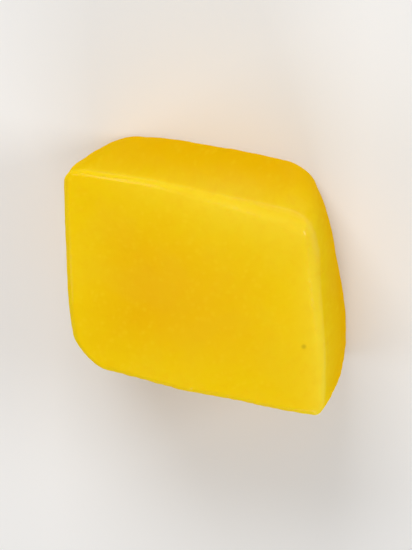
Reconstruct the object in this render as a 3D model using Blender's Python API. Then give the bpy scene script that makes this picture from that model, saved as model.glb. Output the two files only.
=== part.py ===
"""A chunk of fresh mango, as a knife leaves it: a small uneven block of flesh from the cheek of the fruit.

The block is shaped as the kitchen shapes it. Strokes of a knife and of a peeler bound it, a narrow trim
blunts one corner, and the edges between them are softened. Each stroke leaves a nearly flat face, which
bows out a little, because ripe flesh gives way under the blade.

Run it with: blender --background --python part.py
The frame has +Z up, with the origin on the board, under the middle of the chunk. Seen from above with
+Y upwards, the side that lay under the peel is the one towards +X.
"""

import itertools
import math
from typing import NamedTuple

import bmesh
import bpy
import numpy as np

MM = 0.001

# Driving sizes. The width runs along X, the depth along Y.
WIDTH = 25.8 * MM
DEPTH = 20.6 * MM
HEIGHT = 20.5 * MM
RIM_RADIUS = 0.7 * MM  # round the top and the board face
SOFT_RIM_RADIUS = 1.9 * MM  # the same where the far cut meets the peel side
SOFT_RIM_HEADING = 41.0  # where that is, in degrees from +X towards +Y
UPRIGHT_EDGE_RADIUS = 1.0 * MM
PEEL_FACET_RADIUS = 1.6 * MM
SOFT_CORNER_RADIUS = 3.2 * MM
SOFT_CORNER_HEADING = 221.0  # where the bruised corner lies

# The grid on each side of the block, and how much closer its lines lie near the edges
GRID_CELLS = 30
EDGE_CROWDING = 0.7

# Where a grid point may end up, as shares of its distance from the middle, and how often that is halved
NEAREST = 0.4
FARTHEST = 1.6
HALVINGS = 30

FLESH_COLOUR = (0.83, 0.49, 0.01, 1.0)
FLESH_ROUGHNESS = 0.38


class Stroke(NamedTuple):
    """One stroke of the blade and the face that it leaves."""

    heading: float  # where the face looks on the compass, in degrees from +X towards +Y
    lean: float  # how far the face looks up, or down if it is below zero, in degrees
    reach: float  # from the middle of the chunk to the face
    bow_across: float = 0.0  # how far the middle stands out beyond the left and right rims of the face
    bow_up: float = 0.0  # the same beyond its upper and lower rims
    twist: float = 0.0  # how far the blade turned along the stroke, as a rise at the face's corners


KNIFE_CUTS = {
    "far": Stroke(79.1, 1.5, DEPTH * 0.515, bow_across=0.5 * MM, bow_up=0.3 * MM, twist=0.4 * MM),
    "near": Stroke(257.5, -5.0, DEPTH * 0.43, bow_across=0.2 * MM, bow_up=0.2 * MM),
    "left": Stroke(184.2, -2.0, WIDTH * 0.49, bow_across=0.3 * MM, bow_up=0.2 * MM, twist=-0.2 * MM),
}
PEELER_CUTS = {
    "peel": Stroke(7.1, -1.0, WIDTH * 0.471, bow_across=0.1 * MM, bow_up=0.7 * MM, twist=0.7 * MM),
    "peel_far": Stroke(31.0, -3.9, WIDTH * 0.523, bow_up=0.4 * MM),
    "peel_near": Stroke(348.0, 0.0, WIDTH * 0.595, bow_up=0.3 * MM),
}
CORNER_TRIM = Stroke(122.0, -7.1, 16.9 * MM)
SIDES = [*KNIFE_CUTS.values(), *PEELER_CUTS.values(), CORNER_TRIM]
TOP = Stroke(348.0, 89.0, HEIGHT / 2, bow_across=0.3 * MM, bow_up=0.4 * MM)
BOARD = Stroke(0.0, -90.0, HEIGHT / 2)
BOW_SPAN = 11.0 * MM  # from the middle of a face to the rims that its bow is measured from


def direction(stroke):
    """The way that the face looks, as a vector of length one."""
    heading = math.radians(stroke.heading)
    lean = math.radians(stroke.lean)
    level = math.cos(lean)
    return np.array([level * math.cos(heading), level * math.sin(heading), math.sin(lean)])


def outside_of(stroke, points):
    """How far each point lies outside the face that the stroke leaves, and below zero inside it."""
    outward = direction(stroke)
    heading = math.radians(stroke.heading)
    level = np.array([-math.sin(heading), math.cos(heading), 0.0])
    u = points @ level / BOW_SPAN
    v = points @ np.cross(outward, level) / BOW_SPAN
    bow = stroke.bow_across * (1.0 - u * u) + stroke.bow_up * (1.0 - v * v)
    return points @ outward - stroke.reach - bow - stroke.twist * u * v


def rounded(outside, radius):
    """One measure for several faces together, rounded with the radius along the edges where they meet."""
    in_the_round = np.linalg.norm(np.maximum(outside + radius, 0.0), axis=0)
    within = np.minimum(outside.max(axis=0) + radius, 0.0)
    return in_the_round + within - radius


def nearness(points, heading):
    """One for points that lie out at the heading, and down to zero for those at the middle or behind it."""
    heading = math.radians(heading)
    along = points @ np.array([math.cos(heading), math.sin(heading), 0.0])
    return np.clip(2.0 * along / WIDTH, 0.0, 1.0)


def outside_of_chunk(points):
    """How far each point lies outside the whole chunk: its sides first, then those with top and board."""
    to_peel = np.clip(points[:, 0] / WIDTH + 0.5, 0.0, 1.0) ** 2
    upright = UPRIGHT_EDGE_RADIUS + (PEEL_FACET_RADIUS - UPRIGHT_EDGE_RADIUS) * to_peel
    upright += (SOFT_CORNER_RADIUS - UPRIGHT_EDGE_RADIUS) * nearness(points, SOFT_CORNER_HEADING) ** 6
    rim = RIM_RADIUS + (SOFT_RIM_RADIUS - RIM_RADIUS) * nearness(points, SOFT_RIM_HEADING) ** 2
    sides = rounded(np.stack([outside_of(side, points) for side in SIDES]), upright)
    return rounded(np.stack([sides, outside_of(TOP, points), outside_of(BOARD, points)]), rim)


def pressed_onto_chunk(points):
    """Each point moved along its line from the middle of the chunk until it lies on the surface."""
    inner = np.full(len(points), NEAREST)
    outer = np.full(len(points), FARTHEST)
    for _ in range(HALVINGS):
        middle = (inner + outer) / 2.0
        is_outside = outside_of_chunk(points * middle[:, None]) > 0.0
        outer = np.where(is_outside, middle, outer)
        inner = np.where(is_outside, inner, middle)
    return points * inner[:, None]


def crowded(share):
    """A grid line's place from -1 to 1, drawn towards the ends so that the rounded edges get more lines."""
    return (1.0 - EDGE_CROWDING) * share + EDGE_CROWDING * np.sin(share * math.pi / 2.0)


def rough_block(cube):
    """The points of a cube from -1 to 1 spread over a block with the chunk's own eight corners."""
    block = np.zeros_like(cube)
    across = {-1.0: KNIFE_CUTS["left"], 1.0: PEELER_CUTS["peel"]}
    away = {-1.0: KNIFE_CUTS["near"], 1.0: KNIFE_CUTS["far"]}
    upward = {-1.0: BOARD, 1.0: TOP}
    for x, y, z in itertools.product((-1.0, 1.0), repeat=3):
        meeting = (across[x], away[y], upward[z])
        corner = np.linalg.solve(
            [direction(stroke) for stroke in meeting],
            [stroke.reach for stroke in meeting],
        )
        share = (1.0 + cube * [x, y, z]).prod(axis=1) / 8.0
        block += share[:, None] * corner
    return block


def split_outwards(grid):
    """Splits each quad along the diagonal that stands out, so that no fold of a round edge dents inwards."""
    for face in grid.faces[:]:
        a, b, c, d = face.verts
        rise = (a.co + c.co - b.co - d.co).dot(face.normal)
        if rise > 0.0:
            bmesh.utils.face_split(face, a, c)
        else:
            bmesh.utils.face_split(face, b, d)


def chunk_mesh():
    """The chunk's mesh: a cube with a grid on each side, pressed onto the faces that the blades leave."""
    grid = bmesh.new()
    bmesh.ops.create_cube(grid, size=2.0)
    bmesh.ops.subdivide_edges(grid, edges=grid.edges[:], cuts=GRID_CELLS - 1, use_grid_fill=True)
    cube = crowded(np.array([vert.co for vert in grid.verts]))
    points = pressed_onto_chunk(rough_block(cube))
    low = points.min(axis=0)
    high = points.max(axis=0)
    points -= [(low[0] + high[0]) / 2.0, (low[1] + high[1]) / 2.0, low[2]]
    for vert, place in zip(grid.verts, points):
        vert.co = place
    grid.normal_update()
    split_outwards(grid)
    mesh = bpy.data.meshes.new("mango_chunk")
    grid.to_mesh(mesh)
    grid.free()
    return mesh


def flesh_material():
    """Ripe mango flesh: golden, moist and a little glossy."""
    material = bpy.data.materials.new("mango_flesh")
    material.use_nodes = True
    surface = material.node_tree.nodes["Principled BSDF"]
    surface.inputs["Base Color"].default_value = FLESH_COLOUR
    surface.inputs["Roughness"].default_value = FLESH_ROUGHNESS
    surface.inputs["Metallic"].default_value = 0.0
    return material


def build():
    """Clears the scene and puts the chunk in a collection of its own."""
    for leftover in list(bpy.data.objects):
        bpy.data.objects.remove(leftover)
    chunk = bpy.data.objects.new("mango_chunk", chunk_mesh())
    chunk.data.materials.append(flesh_material())
    chunk.data.shade_smooth()
    parts = bpy.data.collections.new("mango_chunk")
    bpy.context.scene.collection.children.link(parts)
    parts.objects.link(chunk)


build()
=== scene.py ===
# %% [markdown]
# # A chunk of fresh mango
#
# This notebook dresses one cut chunk of ripe mango: a small uneven block of golden flesh, with sides cut
# by a knife and one side that lay under the peel. Its plain solid is loaded first. That solid says how
# large the chunk is and where it lies, and everything below is worked out from it.

# %% Load the plain solid
import itertools
import math
from typing import NamedTuple

import bmesh
import bpy
import numpy as np
from mathutils import Matrix, Vector


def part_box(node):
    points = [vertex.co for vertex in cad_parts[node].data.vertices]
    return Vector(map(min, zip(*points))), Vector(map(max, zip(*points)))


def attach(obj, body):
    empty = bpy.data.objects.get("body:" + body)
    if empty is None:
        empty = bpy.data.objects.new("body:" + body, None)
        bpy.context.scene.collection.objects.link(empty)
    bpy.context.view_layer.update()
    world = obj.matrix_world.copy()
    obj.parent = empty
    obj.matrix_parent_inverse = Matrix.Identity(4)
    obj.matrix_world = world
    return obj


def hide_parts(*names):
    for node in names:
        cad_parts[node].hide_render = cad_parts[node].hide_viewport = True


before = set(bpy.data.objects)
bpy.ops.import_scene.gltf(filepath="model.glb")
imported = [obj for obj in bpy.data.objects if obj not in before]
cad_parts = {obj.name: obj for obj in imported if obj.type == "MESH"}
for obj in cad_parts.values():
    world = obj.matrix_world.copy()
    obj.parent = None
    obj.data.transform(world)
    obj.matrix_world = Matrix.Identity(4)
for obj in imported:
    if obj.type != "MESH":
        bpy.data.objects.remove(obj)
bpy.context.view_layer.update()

low, high = (np.array(corner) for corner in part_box("mango_chunk"))
size = high - low
MM = 0.001
print("the plain chunk measures", np.round(size / MM, 1), "mm")

# %% [markdown]
# ## The blade's strokes
#
# On the real chunk every side is one stroke of a blade. The knife leaves a nearly flat face, which bows
# out a little because ripe flesh gives way, and the peeler leaves a few narrow bands with the curve of the
# fruit. The form could be sculpted by hand, or cut from a box with Booleans. Here each stroke is a small
# record of where its face looks and how far out it lies, because a few numbers then hold the whole form,
# and the same rule can later carry the fine marks of the blade.

# %% Describe a stroke
class Stroke(NamedTuple):
    """One stroke of the blade and the face that it leaves."""

    heading: float  # where the face looks on the compass, in degrees from +X towards +Y
    lean: float  # how far the face looks up, or down if it is below zero, in degrees
    reach: float  # from the middle of the chunk to the face
    bow_across: float = 0.0  # how far the middle stands out beyond the left and right rims of the face
    bow_up: float = 0.0  # the same beyond its upper and lower rims
    twist: float = 0.0  # how far the blade turned along the stroke, as a rise at the face's corners


def direction(stroke):
    """The way that the face looks, as a vector of length one."""
    heading = math.radians(stroke.heading)
    lean = math.radians(stroke.lean)
    level = math.cos(lean)
    return np.array([level * math.cos(heading), level * math.sin(heading), math.sin(lean)])


print("a stroke has", len(Stroke._fields), "values:", ", ".join(Stroke._fields))

# %% Name the strokes
WIDTH_SHARE = 0.9315  # of the box's own sides, which the slanting faces reach past
DEPTH_SHARE = 0.8105
HEIGHT_SHARE = 0.966

width = WIDTH_SHARE * size[0]
depth = DEPTH_SHARE * size[1]
height = HEIGHT_SHARE * size[2]

knife_far = Stroke(79.1, 1.5, depth * 0.515, bow_across=0.5 * MM, bow_up=0.3 * MM, twist=0.4 * MM)
knife_near = Stroke(257.5, -5.0, depth * 0.43, bow_across=0.2 * MM, bow_up=0.2 * MM)
knife_left = Stroke(184.2, -2.0, width * 0.49, bow_across=0.3 * MM, bow_up=0.2 * MM, twist=-0.2 * MM)
peel_middle = Stroke(7.1, -1.0, width * 0.471, bow_across=0.1 * MM, bow_up=0.7 * MM, twist=0.7 * MM)
peel_far = Stroke(31.0, -3.9, width * 0.523, bow_up=0.4 * MM)
peel_near = Stroke(348.0, 0.0, width * 0.595, bow_up=0.3 * MM)
corner_trim = Stroke(122.0, -7.1, 16.9 * MM)
knife_top = Stroke(348.0, 89.0, height / 2, bow_across=0.3 * MM, bow_up=0.4 * MM)
knife_under = Stroke(0.0, -90.0, height / 2)

SIDES = [knife_far, knife_near, knife_left, corner_trim, peel_middle, peel_far, peel_near]
PEELED = [peel_middle, peel_far, peel_near]
STROKES = [*SIDES, knife_top, knife_under]
print(len(STROKES), "strokes bound the chunk,", len(PEELED), "of them on the peel side")

# %% Measure how far a point lies outside a face
BOW_SPAN = 11.0 * MM  # from the middle of a face to the rims that its bow is measured from


def outside_of(stroke, points):
    """How far each point lies outside the face that the stroke leaves, and below zero inside it."""
    outward = direction(stroke)
    heading = math.radians(stroke.heading)
    level = np.array([-math.sin(heading), math.cos(heading), 0.0])
    u = points @ level / BOW_SPAN
    v = points @ np.cross(outward, level) / BOW_SPAN
    bow = stroke.bow_across * (1.0 - u * u) + stroke.bow_up * (1.0 - v * v)
    return points @ outward - stroke.reach - bow - stroke.twist * u * v


print("the middle lies", np.round(-outside_of(knife_top, np.zeros((1, 3)))[0] / MM, 1), "mm under the top")

# %% [markdown]
# ## The soft edges
#
# Where two cuts meet, the edge of ripe flesh is never sharp: it rounds over by about a millimetre, more
# where the far cut meets the peel side, and most on one bruised corner. A Bevel modifier could round a
# finished mesh, but it tangles where nine faces with different angles meet. Here the faces are joined by a
# rounded maximum, a formula that gives the distance outside the whole chunk and rounds each edge by the
# radius it is told.

# %% Round the edges
RIM_RADIUS = 0.7 * MM  # round the top and the face underneath
SOFT_RIM_RADIUS = 1.9 * MM  # the same where the far cut meets the peel side
SOFT_RIM_HEADING = 41.0  # where that is, in degrees from +X towards +Y
UPRIGHT_EDGE_RADIUS = 1.0 * MM
PEEL_FACET_RADIUS = 1.6 * MM
SOFT_CORNER_RADIUS = 3.2 * MM
SOFT_CORNER_HEADING = 221.0  # where the bruised corner lies


def rounded(outside, radius):
    """One measure for several faces together, rounded with the radius along the edges where they meet."""
    in_the_round = np.linalg.norm(np.maximum(outside + radius, 0.0), axis=0)
    within = np.minimum(outside.max(axis=0) + radius, 0.0)
    return in_the_round + within - radius


def nearness(points, heading):
    """One for points that lie out at the heading, and down to zero for those at the middle or behind it."""
    heading = math.radians(heading)
    along = points @ np.array([math.cos(heading), math.sin(heading), 0.0])
    return np.clip(2.0 * along / width, 0.0, 1.0)


def outside_of_chunk(points, relief):
    """How far each point lies outside the whole chunk, with a relief for each stroke's face."""
    to_peel = np.clip(points[:, 0] / width + 0.5, 0.0, 1.0) ** 2
    upright = UPRIGHT_EDGE_RADIUS + (PEEL_FACET_RADIUS - UPRIGHT_EDGE_RADIUS) * to_peel
    upright += (SOFT_CORNER_RADIUS - UPRIGHT_EDGE_RADIUS) * nearness(points, SOFT_CORNER_HEADING) ** 6
    rim = RIM_RADIUS + (SOFT_RIM_RADIUS - RIM_RADIUS) * nearness(points, SOFT_RIM_HEADING) ** 2
    outside = np.stack([outside_of(stroke, points) for stroke in STROKES]) - relief
    sides = rounded(outside[: len(SIDES)], upright)
    return rounded(np.stack([sides, *outside[len(SIDES):]]), rim)


print("edges are rounded by", RIM_RADIUS / MM, "to", SOFT_CORNER_RADIUS / MM, "mm")

# %% [markdown]
# ## A net of points round the chunk
#
# The surface needs points close enough together to carry fibres under a millimetre wide. A remesh of the
# plain solid would give them, but its squares would run across the edges. Instead a cube is cut into a
# fine grid, its eight corners are spread to the chunk's own corners, and each point is then pressed
# towards the middle until it meets the surface, by halving its range again and again. So the grid follows
# the cuts, and its lines crowd together at the edges, where the surface turns most.

# %% Spread a cube's grid over the chunk's corners
GRID_CELLS = 126
EDGE_CROWDING = 0.6


def crowded(share):
    """A grid line's place from -1 to 1, drawn towards the ends so that the rounded edges get more lines."""
    return (1.0 - EDGE_CROWDING) * share + EDGE_CROWDING * np.sin(share * math.pi / 2.0)


def rough_block(cube):
    """The points of a cube from -1 to 1 spread over a block with the chunk's own eight corners."""
    block = np.zeros_like(cube)
    across = {-1.0: knife_left, 1.0: peel_middle}
    away = {-1.0: knife_near, 1.0: knife_far}
    upward = {-1.0: knife_under, 1.0: knife_top}
    for x, y, z in itertools.product((-1.0, 1.0), repeat=3):
        meeting = (across[x], away[y], upward[z])
        corner = np.linalg.solve(
            [direction(stroke) for stroke in meeting],
            [stroke.reach for stroke in meeting],
        )
        share = (1.0 + cube * [x, y, z]).prod(axis=1) / 8.0
        block += share[:, None] * corner
    return block


grid = bmesh.new()
bmesh.ops.create_cube(grid, size=2.0)
bmesh.ops.subdivide_edges(grid, edges=grid.edges[:], cuts=GRID_CELLS - 1, use_grid_fill=True)
start = rough_block(crowded(np.array([vert.co for vert in grid.verts])))
print("the grid has", len(grid.verts), "points and", len(grid.faces), "squares")

# %% Press the grid onto the surface
NEAREST = 0.4
FARTHEST = 1.6
HALVINGS = 26


def pressed_onto_chunk(points, relief):
    """Each point moved along its line from the middle of the chunk until it lies on the surface."""
    inner = np.full(len(points), NEAREST)
    outer = np.full(len(points), FARTHEST)
    for _ in range(HALVINGS):
        middle = (inner + outer) / 2.0
        is_outside = outside_of_chunk(points * middle[:, None], relief) > 0.0
        outer = np.where(is_outside, middle, outer)
        inner = np.where(is_outside, inner, middle)
    return points * inner[:, None]


smooth = pressed_onto_chunk(start, np.zeros((len(STROKES), len(start))))
print("the smooth form spans", np.round((smooth.max(axis=0) - smooth.min(axis=0)) / MM, 1), "mm")

# %% [markdown]
# ## The marks in the flesh
#
# Seen close, cut mango is not smooth. Its fibres run up through this chunk, so they show as fine upright
# streaks on the sides and as faint dots on top. The knife leaves a slow swell, the peeler leaves small
# ripples across its bands, and where the knife pulled through at the near rim the flesh is a little torn.
# Each mark could be a noise texture with a Displace modifier. Here each is a sum of sine waves, stretched
# along the fibres where it should be, because the height then feeds the same rule as the strokes, and
# wherever two faces meet their marks meet cleanly as well.

# %% A wavy unevenness
WAVES = 22


def uneven(points, wavelength, seed, stretch=(1.0, 1.0, 1.0)):
    """A smooth random height about zero, mostly within one, whose bumps are a wavelength apart."""
    rng = np.random.default_rng(seed)
    ways = rng.normal(size=(WAVES, 3))
    ways /= np.linalg.norm(ways, axis=1)[:, None]
    ways /= wavelength * rng.uniform(0.75, 1.4, size=WAVES)[:, None]
    ways /= np.array(stretch)
    phases = rng.uniform(0.0, 2.0 * math.pi, size=WAVES)
    angles = 2.0 * math.pi * points @ ways.T + phases
    return np.sin(angles).sum(axis=1) / math.sqrt(2.0 * WAVES)


ALONG_FIBRES = (1.0, 1.0, 6.0)
swell = uneven(smooth, 9.0 * MM, seed=3)
streaks = uneven(smooth, 0.75 * MM, seed=5, stretch=ALONG_FIBRES)
strands = uneven(smooth, 1.9 * MM, seed=8, stretch=ALONG_FIBRES)
grain = uneven(smooth, 0.9 * MM, seed=13)
print("the swell runs from", np.round(swell.min(), 2), "to", np.round(swell.max(), 2))

# %% Put the marks on the faces they belong to
SWELL_HEIGHT = 0.08 * MM
STREAK_HEIGHT = 0.014 * MM
STRAND_HEIGHT = 0.020 * MM
GRAIN_HEIGHT = 0.009 * MM
RIPPLE_HEIGHT = 0.035 * MM
RIPPLE_LENGTH = 2.3 * MM
TEAR_HEIGHT = 0.06 * MM
TEAR_WIDTH = 0.7 * MM
GIVE_HEIGHT = 0.07 * MM  # how far the flesh gave way along the edges
GIVE_WIDTH = 1.6 * MM

wander = 0.35 * uneven(smooth, 7.0 * MM, seed=21)  # how far the ripples stray, in lengths of one
ripples = np.sin(2.0 * math.pi * (smooth[:, 2] / RIPPLE_LENGTH + wander))
ripples *= 0.6 + 0.4 * uneven(smooth, 6.0 * MM, seed=22)  # deep in some places and shallow in others
outside_peel_side = np.max([outside_of(stroke, smooth) for stroke in PEELED], axis=0)
outside_cuts = [outside_of(stroke, smooth) for stroke in STROKES if stroke not in PEELED]
second_outmost = np.sort([outside_peel_side, *outside_cuts], axis=0)[-2]
from_edge = np.clip(-second_outmost, 0.0, None)
give = GIVE_HEIGHT * np.exp(-from_edge / GIVE_WIDTH)
from_near_rim = np.abs(outside_of(knife_near, smooth)) + np.abs(outside_of(knife_top, smooth))
tears = uneven(smooth, 0.8 * MM, seed=34) * np.exp(-from_near_rim / TEAR_WIDTH)

side_marks = SWELL_HEIGHT * swell + STREAK_HEIGHT * streaks + STRAND_HEIGHT * strands
end_marks = SWELL_HEIGHT * swell + GRAIN_HEIGHT * grain
relief = np.zeros((len(STROKES), len(smooth)))
for row, stroke in enumerate(STROKES):
    relief[row] = end_marks if stroke is knife_top else side_marks
    if stroke in PEELED:
        relief[row] += RIPPLE_HEIGHT * ripples
    relief[row] += TEAR_HEIGHT * tears - give
relief[STROKES.index(knife_under)] = 0.0
print("the marks stand out by up to", np.round(relief.max() / MM, 2), "mm")

# %% Press the marked surface and stand it on the floor
marked = pressed_onto_chunk(start, relief)
middle = (smooth.min(axis=0) + smooth.max(axis=0)) / 2.0
under = np.array([(low[0] + high[0]) / 2.0, (low[1] + high[1]) / 2.0, low[2]])
to_place = under - np.array([middle[0], middle[1], smooth[:, 2].min()])
print("the marked chunk is moved by", np.round(to_place / MM, 2), "mm to lie where the plain one lies")

# %% [markdown]
# ## What each point knows
#
# The colour of mango flesh depends on where it sat in the fruit and on how the light gets through it. It is
# pale where the peel was taken off, lemon a little deeper, and golden further in. Light and shade are
# painted
# into it as well: a painted glow makes it lighter towards an edge, most of all on top, painted shade makes
# it deeper down the sides, and a painted sheen brightens the pale band by the peel on top. All this could
# be painted by hand. Here each point of the mesh stores a few numbers instead: its depth under the peel,
# its distance from an edge, the painted glow of the edges, the painted shade of the sides, the trace of the
# peel with its painted sheen, and whether it lies on top. The material reads them.

# %% Depth under the peel
FRUIT_RADIUS = 36.0 * MM
TO_THE_PEEL = np.array([0.62, 0.26, 0.74])
TO_THE_PEEL /= np.linalg.norm(TO_THE_PEEL)

fruit_middle = TO_THE_PEEL * (width / 2.0 - FRUIT_RADIUS)
from_fruit_middle = np.linalg.norm(smooth - fruit_middle, axis=1)
under_peel = (from_fruit_middle.max() - from_fruit_middle) / MM
print("the deepest flesh lay", np.round(under_peel.max(), 1), "mm under the peel")

# %% The painted glow of the edges
TOP_DEPTH = 2.2 * MM  # how far down the sides the light from above still tells
GLOW_WIDTH = 3.0 * MM
GLOW_WIDTH_ON_TOP = 9.0 * MM
SIDE_GLOW = 0.15


def eased(share):
    """A share from 0 to 1 that starts and ends gently."""
    share = np.clip(share, 0.0, 1.0)
    return share * share * (3.0 - 2.0 * share)


on_top = eased(1.0 + outside_of(knife_top, smooth) / TOP_DEPTH)
glow_width = GLOW_WIDTH + (GLOW_WIDTH_ON_TOP - GLOW_WIDTH) * on_top
# Painted light: the colour is made lighter near an edge, most of all on top, for light that shines through
# the thin flesh there.
painted_edge_glow = eased(1.0 - from_edge / glow_width) * (SIDE_GLOW + (1.0 - SIDE_GLOW) * on_top ** 2)
print("the edges glow over", GLOW_WIDTH / MM, "mm on the sides and", GLOW_WIDTH_ON_TOP / MM, "mm on top")

# %% The painted shade of the sides
PEEL_SIDE_HEADING = 7.0
FULL_SHADE_DEPTH = 13.0 * MM
SHADE_AT_THE_RIM = 0.15  # as a share of the gold farther down
SHADE_ALL_ROUND = 0.24
MORE_ON_PEEL_SIDE = 0.4
PATCHES = 0.1

# Painted shade: the sides are painted a deeper gold, more so farther down and on the peel side, for the
# shade they lie in and the light that reaches them through the flesh.
going_down = eased(-outside_of(knife_top, smooth) / FULL_SHADE_DEPTH)
painted_side_shade = (1.0 - on_top) * (SHADE_AT_THE_RIM + (1.0 - SHADE_AT_THE_RIM) * going_down)
shade_here = SHADE_ALL_ROUND + MORE_ON_PEEL_SIDE * nearness(smooth, PEEL_SIDE_HEADING)
painted_side_shade *= shade_here + PATCHES * uneven(smooth, 8.0 * MM, seed=55)
painted_side_shade = np.clip(painted_side_shade, 0.0, 1.0)
print("the sides turn deeper by up to", np.round(100.0 * painted_side_shade.max()), "per cent")

# %% The trace of the peel, with a painted sheen
TRACE_WIDTH = 1.1 * MM
SHEEN_WIDTH_AT_CORNER = 2.4 * MM

# Partly real and partly painted light: a pale band along the peel rim on top stands for the paler flesh
# under the peel, and its wider part at the far corner is a painted sheen where the rounded rim catches the
# light. It is kept to the top.
from_far_side = -outside_of(knife_far, smooth)
to_soft_rim = nearness(smooth, SOFT_RIM_HEADING)
peel_trace_and_sheen = np.exp(-np.clip(-outside_peel_side, 0.0, None) / TRACE_WIDTH)
corner_sheen = np.exp(-np.clip(from_far_side, 0.0, None) / SHEEN_WIDTH_AT_CORNER) * to_soft_rim
peel_trace_and_sheen = np.maximum(peel_trace_and_sheen, corner_sheen) * on_top ** 4
print("the peel left a trace on", np.round(100.0 * (peel_trace_and_sheen > 0.3).mean(), 1), "per cent of the points")

# %% Make the chunk
def store(mesh, name, values):
    """Keeps one number for each point of the mesh, under a name that a material can read."""
    mesh.attributes.new(name, "FLOAT", "POINT").data.foreach_set("value", values.astype(np.float32))


for vert, point in zip(grid.verts, marked + to_place):
    vert.co = point
flesh_mesh = bpy.data.meshes.new("mango_flesh")
grid.to_mesh(flesh_mesh)
grid.free()
store(flesh_mesh, "under_peel", under_peel)
store(flesh_mesh, "from_edge", from_edge / MM)
store(flesh_mesh, "painted_edge_glow", painted_edge_glow)
store(flesh_mesh, "painted_side_shade", painted_side_shade)
store(flesh_mesh, "peel_trace_and_sheen", peel_trace_and_sheen)
store(flesh_mesh, "on_top", on_top)
flesh_mesh.shade_smooth()
flesh = bpy.data.objects.new("mango_flesh", flesh_mesh)
bpy.context.scene.collection.objects.link(flesh)
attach(flesh, "root")
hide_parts("mango_chunk")
print("the chunk has", len(flesh_mesh.polygons), "squares")

# %% [markdown]
# ## The flesh
#
# Ripe mango flesh is moist and a little see-through. Light goes in, wanders, and comes out golden, so
# shadows on it stay warm and edges glow. A plain diffuse colour looks like painted wood. Here a part of the
# light is scattered under the surface, red farthest and blue hardly at all, and the colour is built in
# layers: the depth under the peel first, then the painted shade of the sides, the painted glow of the
# edges, the pale trace, which is partly paler flesh and partly a painted sheen, and painted glints along
# the rims.

# %% A helper for shader nodes
def add(tree, kind, settings=None, **inputs):
    """Adds a shader node, sets its options, and fills its inputs with values or other nodes' outputs."""
    node = tree.nodes.new(kind)
    for option, value in (settings or {}).items():
        setattr(node, option, value)
    for name, value in inputs.items():
        socket = node.inputs[name.replace("_", " ")]
        if isinstance(value, bpy.types.NodeSocket):
            tree.links.new(value, socket)
        else:
            socket.default_value = value
    return node


material = bpy.data.materials.new("ripe_mango_flesh")
material.use_nodes = True
tree = material.node_tree
tree.nodes.clear()
print("made the material", material.name)

# %% Colour by depth under the peel
LEMON = (0.86, 0.575, 0.004, 1.0)
GOLD = (0.835, 0.468, 0.001, 1.0)
DEEP_GOLD = (0.82, 0.43, 0.0, 1.0)
DEPTHS = {2.0: LEMON, 10.0: GOLD, 20.0: DEEP_GOLD}  # mm
DEEPEST = 30.0

peel_depth = add(tree, "ShaderNodeAttribute", {"attribute_name": "under_peel"})
depth_share = add(tree, "ShaderNodeMapRange", Value=peel_depth.outputs["Fac"], From_Max=DEEPEST)
depth_colour = add(tree, "ShaderNodeValToRGB", Fac=depth_share.outputs["Result"])
stops = depth_colour.color_ramp.elements
stops.remove(stops[-1])
for number, (depth_here, colour) in enumerate(DEPTHS.items()):
    stop = stops[0] if number == 0 else stops.new(depth_here / DEEPEST)
    stop.position = depth_here / DEEPEST
    stop.color = colour
print("the colour turns from lemon to deep gold over", max(DEPTHS), "mm")

# %% Helpers for patterns and tints
def noise(size_of_spots, coordinates, **inputs):
    """A cloudy pattern whose spots are about as large as the size, given in metres."""
    node = add(tree, "ShaderNodeTexNoise", Vector=coordinates, Scale=1.0 / size_of_spots, **inputs)
    return node.outputs["Fac"]


def between(value, start, end, at_start=0.0, at_end=1.0):
    """Turns a value that runs from start to end into one that runs gently from at_start to at_end."""
    node = add(
        tree,
        "ShaderNodeMapRange",
        {"interpolation_type": "SMOOTHSTEP"},
        Value=value,
        From_Min=start,
        From_Max=end,
        To_Min=at_start,
        To_Max=at_end,
    )
    return node.outputs["Result"]


def times(first, second):
    """One value times another."""
    node = add(tree, "ShaderNodeMath", {"operation": "MULTIPLY"})
    for socket, value in zip(node.inputs, (first, second)):
        if isinstance(value, bpy.types.NodeSocket):
            tree.links.new(value, socket)
        else:
            socket.default_value = value
    return node.outputs["Value"]


def tinted(colour, tint, amount):
    """A colour that turns towards the tint by the amount."""
    return add(tree, "ShaderNodeMixRGB", Fac=amount, Color1=colour, Color2=tint).outputs["Color"]


place = add(tree, "ShaderNodeTexCoord").outputs["Object"]
clouds = noise(7.0 * MM, place, Detail=2.0, Distortion=0.6)
print("made the clouds that the tints below are broken up by")

# %% Painted glow, shade and glints, and the trace of the peel
# Painted light and shade: the side gold is painted shade, the edge glow and the edge line are painted
# light, and the pale tint is paler flesh with a painted sheen. The edge line's colour also tints the light
# speck, which is the flesh's own.
SHADED_SIDE_GOLD = (0.82, 0.40, 0.0, 1.0)
PAINTED_EDGE_GLOW = (0.865, 0.59, 0.002, 1.0)
PALE_GLINT_AND_SPECK = (0.95, 0.74, 0.03, 1.0)
PALE_FLESH_AND_SHEEN = (0.93, 0.73, 0.05, 1.0)
GLINT_LINE_WIDTH = 0.5

side, glow, trace, edge_distance = (
    add(tree, "ShaderNodeAttribute", {"attribute_name": name}).outputs["Fac"]
    for name in ("painted_side_shade", "painted_edge_glow", "peel_trace_and_sheen", "from_edge")
)
# Painted glints: a thin pale line along every rim, broken up by the clouds, stands for light glinting on
# the wet edges.
line = between(edge_distance, 0.0, GLINT_LINE_WIDTH, 1.0, 0.0)
line = times(line, between(clouds, 0.42, 0.6, 0.05, 0.45))
# The pale trace is paler flesh near the peel together with a painted sheen.
trace = times(trace, between(clouds, 0.35, 0.6, 0.7, 1.0))
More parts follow.
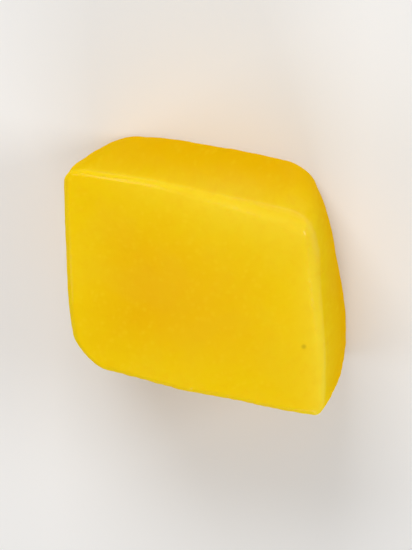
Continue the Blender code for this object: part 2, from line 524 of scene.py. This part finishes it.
# These tints paint shade on the sides, light at the edges, a sheen on the pale trace and glints on the
# rims.
colour = tinted(depth_colour.outputs["Color"], SHADED_SIDE_GOLD, side)
colour = tinted(colour, PAINTED_EDGE_GLOW, glow)
colour = tinted(colour, PALE_FLESH_AND_SHEEN, trace)
colour = tinted(colour, PALE_GLINT_AND_SPECK, line)
print("the flesh is lighter at its edges and where the peel was")

# %% [markdown]
# ## Fibres and specks
#
# Fine fibres run through mango flesh, a little paler than the juicy pulp between them. As strands of mesh
# they would be far too many, and a plain noise has no threads in it. Here a Voronoi pattern is stretched
# along the fibres, so that the middle of each long cell becomes a thread. Its coordinates are bent a little
# first, since no fibre in a fruit is quite straight. Two small specks on top, a dark one and a light one,
# could be drawn by hand, but a distance from a point is enough for something so small and round.

# %% Coordinates that run along the fibres
FIBRE_STRETCH = 0.15
BEND_LENGTH = 5.0 * MM
BEND_REACH = 1.6 * MM

bend = add(tree, "ShaderNodeTexNoise", Vector=place, Scale=1.0 / BEND_LENGTH, Detail=1.0)
bend_by = add(tree, "ShaderNodeVectorMath", {"operation": "SCALE"}, Scale=BEND_REACH)
tree.links.new(bend.outputs["Color"], bend_by.inputs[0])
bent = add(tree, "ShaderNodeVectorMath", {"operation": "ADD"})
tree.links.new(place, bent.inputs[0])
tree.links.new(bend_by.outputs["Vector"], bent.inputs[1])
mapping = add(tree, "ShaderNodeMapping", Vector=bent.outputs["Vector"], Scale=(1.0, 1.0, FIBRE_STRETCH))
along = mapping.outputs["Vector"]
print("the fibres bend by up to about", round(BEND_REACH / MM, 1), "mm")

# %% Fibres in the flesh
FIBRE_SPACING = 0.8 * MM
PULP_SIZE = 1.1 * MM
THREAD = (0.93, 0.66, 0.02, 1.0)
JUICY = (0.80, 0.42, 0.0, 1.0)
JUICY_PULP = 0.3  # how much the pulp is tinted
SHARE_ON_TOP = 0.4  # of that tint, since the top shows the fibres end on
JUICY_CLOUDS = 0.12

cells = add(tree, "ShaderNodeTexVoronoi", Vector=along, Scale=1.0 / FIBRE_SPACING)
threads = between(cells.outputs["Distance"], 0.0, 0.5, 1.0, 0.0)
threads = times(threads, between(clouds, 0.35, 0.65, 0.08, 0.28))
pulp = noise(PULP_SIZE, along, Detail=3.0, Roughness=0.6)
top = add(tree, "ShaderNodeAttribute", {"attribute_name": "on_top"}).outputs["Fac"]
juicy = times(between(pulp, 0.42, 0.72, 0.0, JUICY_PULP), between(top, 0.0, 1.0, 1.0, SHARE_ON_TOP))
colour = tinted(colour, THREAD, threads)
colour = tinted(colour, JUICY, juicy)
colour = tinted(colour, JUICY, between(clouds, 0.5, 0.75, 0.0, JUICY_CLOUDS))
print("the fibres are", FIBRE_SPACING / MM, "mm apart and", round(1.0 / FIBRE_STRETCH), "times as long")

# %% Two specks on top
DARK_SPECK = (0.30, 0.19, 0.004, 1.0)
SPECK_STRENGTH = 0.4
SPECKS = {  # each one's colour, radius and place on top, as shares of the width and depth from the middle
    "dark": (DARK_SPECK, 0.26 * MM, 0.417, -0.240),
    "light": (PALE_GLINT_AND_SPECK, 0.45 * MM, -0.115, 0.009),
}

for tint, radius, share_across, share_away in SPECKS.values():
    spot = (to_place + [share_across * width, share_away * depth, height / 2.0]).tolist()
    gap = add(tree, "ShaderNodeVectorMath", {"operation": "DISTANCE"})
    tree.links.new(place, gap.inputs[0])
    gap.inputs[1].default_value = spot
    speck = between(gap.outputs["Value"], radius * 0.3, radius * 1.5, SPECK_STRENGTH, 0.0)
    colour = tinted(colour, tint, speck)
print("put on the specks:", ", ".join(SPECKS))

# %% [markdown]
# ## The film of juice
#
# A fresh cut is wet, though unevenly: juice stands in patches and draws back from the edges. A lower
# roughness all over would make the flesh look like plastic. Here a clear coat lies over the flesh, strong
# where the clouds say that it is wet and weaker at an edge, and a fine bump breaks up its shine, as pores
# do. The coat also fades where it is seen at a low angle, where a smooth one would mirror the whole floor.

# %% Wet and drier patches
WET = 0.65
DRIER = 0.3
SMOOTHEST = 0.30
ROUGHEST = 0.48
BARE_EDGE = 0.8  # how far from an edge the juice draws back, in mm
LEFT_AT_EDGE = 0.35
LEFT_AT_LOW_ANGLE = 0.03

roughness = between(clouds, 0.35, 0.65, SMOOTHEST, ROUGHEST)
facing = add(tree, "ShaderNodeLayerWeight", Blend=0.5).outputs["Facing"]
wetness = between(clouds, 0.4, 0.6, WET, DRIER)
wetness = times(wetness, between(facing, 0.45, 0.78, 1.0, LEFT_AT_LOW_ANGLE))
wetness = times(wetness, between(edge_distance, 0.0, BARE_EDGE, LEFT_AT_EDGE, 1.0))
print("the juice draws back", BARE_EDGE, "mm from the edges")

# %% Pores
PORE_SIZE = 0.35 * MM
PORE_DEPTH = 0.06 * MM

pores = noise(PORE_SIZE, place, Detail=2.0)
pitted = add(tree, "ShaderNodeMath", {"operation": "ADD"})
tree.links.new(pulp, pitted.inputs[0])
tree.links.new(pores, pitted.inputs[1])
pitted = pitted.outputs["Value"]
bump = add(tree, "ShaderNodeBump", Height=pitted, Strength=0.35, Distance=PORE_DEPTH)
film = add(tree, "ShaderNodeBump", Height=pitted, Strength=0.5, Distance=PORE_DEPTH)
print("the film of juice is broken up by pores of", PORE_SIZE / MM, "mm")

# %% The moist surface
SCATTERED = 0.4  # the share of the light that wanders under the surface
SCATTER_REACH = 1.7 * MM
JUICE_IOR = 1.36

surface = add(
    tree,
    "ShaderNodeBsdfPrincipled",
    {"subsurface_method": "RANDOM_WALK"},
    Base_Color=colour,
    Roughness=roughness,
    Normal=bump.outputs["Normal"],
    Subsurface_Weight=SCATTERED,
    Subsurface_Radius=(1.0, 0.6, 0.1),
    Subsurface_Scale=SCATTER_REACH,
    Specular_IOR_Level=0.0,  # all the shine is the film's
    Coat_Weight=wetness,
    Coat_Roughness=0.12,
    Coat_IOR=JUICE_IOR,
    Coat_Normal=film.outputs["Normal"],
)
add(tree, "ShaderNodeOutputMaterial", Surface=surface.outputs["BSDF"])
flesh_mesh.materials.append(material)
print("the flesh's shader has", len(tree.nodes), "nodes")

# %% [markdown]
# ## The floor and the light
#
# The chunk lies on a plain pale floor. Soft light comes from large panels, as through a kitchen window
# and off the walls: the strongest from beyond the chunk, weaker ones from the near side and from the left
# and right. One bright lamp would give hard shadows, and a panel straight above would be mirrored in the
# wet top. Here none hangs where the camera would see it in the film of juice, so the gold stays deep.

# %% Lay the floor
FLOOR_SIDE = 2.4
FLOOR_GAP = 0.02 * MM  # so that the floor and the chunk's underside don't flicker through each other
FLOOR_WHITE = (0.84, 0.84, 0.84, 1.0)

floor_mesh = bpy.data.meshes.new("floor")
floor_grid = bmesh.new()
bmesh.ops.create_grid(floor_grid, x_segments=1, y_segments=1, size=FLOOR_SIDE / 2.0)
floor_grid.to_mesh(floor_mesh)
floor_grid.free()
floor = bpy.data.objects.new("floor", floor_mesh)
floor.location.z = low[2] - FLOOR_GAP
bpy.context.scene.collection.objects.link(floor)
floor_material = bpy.data.materials.new("pale_floor")
floor_material.use_nodes = True
floor_surface = floor_material.node_tree.nodes["Principled BSDF"]
floor_surface.inputs["Base Color"].default_value = FLOOR_WHITE
floor_surface.inputs["Roughness"].default_value = 0.6
floor_mesh.materials.append(floor_material)
print("the floor is", FLOOR_SIDE, "m wide")

# %% Hang the soft panels
PANELS = {  # each one's heading and elevation in degrees, distance and side in metres, and power in watts
    "panel_far": (103.0, 41.0, 0.45, 0.24, 1.04),
    "panel_left": (190.0, 40.0, 0.45, 0.18, 0.25),
    "panel_right": (10.0, 35.0, 0.45, 0.18, 0.55),
    "panel_near": (280.0, 26.0, 0.5, 0.2, 0.75),
}
chunk_middle = Vector((low + high) / 2.0)


def soft_panel(name, heading, elevation, distance, side, power):
    """A square panel of soft light that faces the chunk."""
    light = bpy.data.lights.new(name, "AREA")
    light.size = side
    light.energy = power
    lamp = bpy.data.objects.new(name, light)
    heading = math.radians(heading)
    elevation = math.radians(elevation)
    level = math.cos(elevation)
    away = Vector((level * math.cos(heading), level * math.sin(heading), math.sin(elevation)))
    lamp.location = chunk_middle + distance * away
    lamp.rotation_euler = away.to_track_quat("Z", "Y").to_euler()
    bpy.context.scene.collection.objects.link(lamp)


for name, values in PANELS.items():
    soft_panel(name, *values)
print("hung", len(PANELS), "panels")

# %% Fill the room with a little light
ROOM_COLOUR = (1.0, 0.98, 0.95, 1.0)
ROOM_STRENGTH = 0.35

world = bpy.data.worlds.new("room")
bpy.context.scene.world = world
world.use_nodes = True
room = world.node_tree.nodes["Background"]
room.inputs["Color"].default_value = ROOM_COLOUR
room.inputs["Strength"].default_value = ROOM_STRENGTH
print("the room's own light has a strength of", ROOM_STRENGTH)

# %% [markdown]
# ## The camera
#
# The chunk is seen almost straight from above, tilted a little, so that its far side and its peel side
# just show. A short lens close by would spread the sides, and a flat projection has no depth at all, so a
# long lens from some way off is used. The camera's own frame is built from the line of sight, so that the
# far side is up in the picture.

# %% Place the camera
TILT_TO_PEEL = math.radians(5.5)
TILT_TO_FAR = math.radians(13.0)
LENS = 900.0
SENSOR = 36.0
PICTURE = (412, 550)
SHARE_OF_WIDTH = 0.69

sight = Vector((math.tan(TILT_TO_PEEL), math.tan(TILT_TO_FAR), 1.0)).normalized()
up = (Vector((0.0, 1.0, 0.0)) - sight.y * sight).normalized()
right = up.cross(sight)
points = marked + to_place
across = points @ np.array(right)
upwards = points @ np.array(up)
middle_of_view = right * ((across.min() + across.max()) / 2.0)
middle_of_view += up * ((upwards.min() + upwards.max()) / 2.0)
view_height = (across.max() - across.min()) / SHARE_OF_WIDTH * PICTURE[1] / PICTURE[0]
distance = view_height * LENS / SENSOR + high[2]

camera_data = bpy.data.cameras.new("camera")
camera_data.lens = LENS
camera_data.sensor_width = SENSOR
camera_data.clip_start = 0.01
camera_data.clip_end = 5.0
camera = bpy.data.objects.new("camera", camera_data)
axes = Matrix((right, up, sight)).transposed()
camera.matrix_world = Matrix.Translation(middle_of_view + sight * distance) @ axes.to_4x4()
bpy.context.scene.collection.objects.link(camera)
bpy.context.scene.camera = camera
bpy.context.scene.view_settings.view_transform = "Standard"
print("the camera stands", round(distance, 3), "m off")
